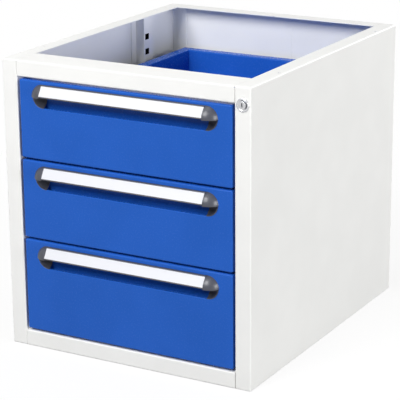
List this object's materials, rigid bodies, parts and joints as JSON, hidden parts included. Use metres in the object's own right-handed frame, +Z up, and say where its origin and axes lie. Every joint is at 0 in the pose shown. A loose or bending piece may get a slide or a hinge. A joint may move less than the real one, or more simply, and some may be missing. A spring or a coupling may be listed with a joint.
{
  "type": "under-bench drawer unit",
  "caption": "Open-topped steel drawer unit for mounting under a bench, with blue drawers on telescopic runners, long recessed grips and a central lock.",
  "frame": {"origin": "middle of the housing's footprint, on its underside", "axes": "+X to the right along the front, +Y from the front into the depth, +Z up"},
  "size_m": [0.5, 0.6158, 0.54],
  "materials": {
    "housing": "satin powder coat",
    "drawer_blue": "satin powder coat",
    "grip_plastic": "fine matt moulding",
    "label_white": "smooth strip",
    "cage_steel": "plated",
    "runner_steel": "zinc plated",
    "zinc_steel": "zinc plated",
    "lock_chrome": "satin chrome"
  },
  "bodies": {
    "housing": {"left_side_panel": "housing", "right_side_panel": "housing", "back_panel": "housing", "base_panel": "housing", "top_front_rail": "housing", "front_left_upright": "housing", "front_right_upright": "housing", "rear_left_upright": "housing", "rear_right_upright": "housing", "lock_barrel": "lock_chrome", "lock_nut": "zinc_steel", "lock_bar_guides": "zinc_steel", "drawer_1_cabinet_rail_left": "runner_steel", "drawer_1_cabinet_rail_right": "runner_steel", "drawer_2_cabinet_rail_left": "runner_steel", "drawer_2_cabinet_rail_right": "runner_steel", "drawer_3_cabinet_rail_left": "runner_steel", "drawer_3_cabinet_rail_right": "runner_steel"},
    "lock": {"lock_plug": "lock_chrome", "lock_cam": "zinc_steel"},
    "locking_bar": {"lock_bar": "zinc_steel"},
    "drawer_1": {"drawer_1_front": "drawer_blue", "drawer_1_tray": "drawer_blue", "drawer_1_handle_hood": "grip_plastic", "drawer_1_label_strip": "label_white", "drawer_1_cap_left": "grip_plastic", "drawer_1_cap_right": "grip_plastic", "drawer_1_rail_left": "runner_steel", "drawer_1_rail_right": "runner_steel", "drawer_1_screws": "zinc_steel", "drawer_1_lock_catch": "zinc_steel"},
    "drawer_1_middle_rails": {"drawer_1_middle_rails": "runner_steel"},
    "drawer_1_outer_cages": {"drawer_1_outer_ball_cages": "cage_steel"},
    "drawer_1_inner_cages": {"drawer_1_inner_ball_cages": "cage_steel"},
    "drawer_2": {"drawer_2_front": "drawer_blue", "drawer_2_tray": "drawer_blue", "drawer_2_handle_hood": "grip_plastic", "drawer_2_label_strip": "label_white", "drawer_2_cap_left": "grip_plastic", "drawer_2_cap_right": "grip_plastic", "drawer_2_rail_left": "runner_steel", "drawer_2_rail_right": "runner_steel", "drawer_2_screws": "zinc_steel", "drawer_2_lock_catch": "zinc_steel"},
    "drawer_2_middle_rails": {"drawer_2_middle_rails": "runner_steel"},
    "drawer_2_outer_cages": {"drawer_2_outer_ball_cages": "cage_steel"},
    "drawer_2_inner_cages": {"drawer_2_inner_ball_cages": "cage_steel"},
    "drawer_3": {"drawer_3_front": "drawer_blue", "drawer_3_tray": "drawer_blue", "drawer_3_handle_hood": "grip_plastic", "drawer_3_label_strip": "label_white", "drawer_3_cap_left": "grip_plastic", "drawer_3_cap_right": "grip_plastic", "drawer_3_rail_left": "runner_steel", "drawer_3_rail_right": "runner_steel", "drawer_3_screws": "zinc_steel", "drawer_3_lock_catch": "zinc_steel"},
    "drawer_3_middle_rails": {"drawer_3_middle_rails": "runner_steel"},
    "drawer_3_outer_cages": {"drawer_3_outer_ball_cages": "cage_steel"},
    "drawer_3_inner_cages": {"drawer_3_inner_ball_cages": "cage_steel"}
  },
  "joints": [
    {"name": "lock_turn", "type": "hinge", "parent": "housing", "child": "lock", "pos_m": [0.2345, -0.3, 0.509], "axis": [0, 1, 0], "range_deg": [0, 90]},
    {"name": "locking_bar_slide", "type": "slide", "parent": "housing", "child": "locking_bar", "axis": [0, 0, 1], "range_m": [0, 0.01273]},
    {"name": "drawer_1_slide", "type": "slide", "parent": "housing", "child": "drawer_1", "axis": [0, -1, 0], "range_m": [0, 0.48]},
    {"name": "drawer_1_middle_rails_slide", "type": "slide", "parent": "housing", "child": "drawer_1_middle_rails", "axis": [0, -1, 0], "range_m": [0, 0.24]},
    {"name": "drawer_1_outer_cages_slide", "type": "slide", "parent": "housing", "child": "drawer_1_outer_cages", "axis": [0, -1, 0], "range_m": [0, 0.12]},
    {"name": "drawer_1_inner_cages_slide", "type": "slide", "parent": "housing", "child": "drawer_1_inner_cages", "axis": [0, -1, 0], "range_m": [0, 0.36]},
    {"name": "drawer_2_slide", "type": "slide", "parent": "housing", "child": "drawer_2", "axis": [0, -1, 0], "range_m": [0, 0.48]},
    {"name": "drawer_2_middle_rails_slide", "type": "slide", "parent": "housing", "child": "drawer_2_middle_rails", "axis": [0, -1, 0], "range_m": [0, 0.24]},
    {"name": "drawer_2_outer_cages_slide", "type": "slide", "parent": "housing", "child": "drawer_2_outer_cages", "axis": [0, -1, 0], "range_m": [0, 0.12]},
    {"name": "drawer_2_inner_cages_slide", "type": "slide", "parent": "housing", "child": "drawer_2_inner_cages", "axis": [0, -1, 0], "range_m": [0, 0.36]},
    {"name": "drawer_3_slide", "type": "slide", "parent": "housing", "child": "drawer_3", "axis": [0, -1, 0], "range_m": [0, 0.48]},
    {"name": "drawer_3_middle_rails_slide", "type": "slide", "parent": "housing", "child": "drawer_3_middle_rails", "axis": [0, -1, 0], "range_m": [0, 0.24]},
    {"name": "drawer_3_outer_cages_slide", "type": "slide", "parent": "housing", "child": "drawer_3_outer_cages", "axis": [0, -1, 0], "range_m": [0, 0.12]},
    {"name": "drawer_3_inner_cages_slide", "type": "slide", "parent": "housing", "child": "drawer_3_inner_cages", "axis": [0, -1, 0], "range_m": [0, 0.36]}
  ],
  "couplings": [
    {"joint": "lock_turn", "follows": "locking_bar_slide", "rad_per_m": 123.41},
    {"joint": "drawer_1_middle_rails_slide", "follows": "drawer_1_slide", "ratio": 0.5},
    {"joint": "drawer_1_outer_cages_slide", "follows": "drawer_1_slide", "ratio": 0.25},
    {"joint": "drawer_1_inner_cages_slide", "follows": "drawer_1_slide", "ratio": 0.75},
    {"joint": "drawer_2_middle_rails_slide", "follows": "drawer_2_slide", "ratio": 0.5},
    {"joint": "drawer_2_outer_cages_slide", "follows": "drawer_2_slide", "ratio": 0.25},
    {"joint": "drawer_2_inner_cages_slide", "follows": "drawer_2_slide", "ratio": 0.75},
    {"joint": "drawer_3_middle_rails_slide", "follows": "drawer_3_slide", "ratio": 0.5},
    {"joint": "drawer_3_outer_cages_slide", "follows": "drawer_3_slide", "ratio": 0.25},
    {"joint": "drawer_3_inner_cages_slide", "follows": "drawer_3_slide", "ratio": 0.75}
  ]
}
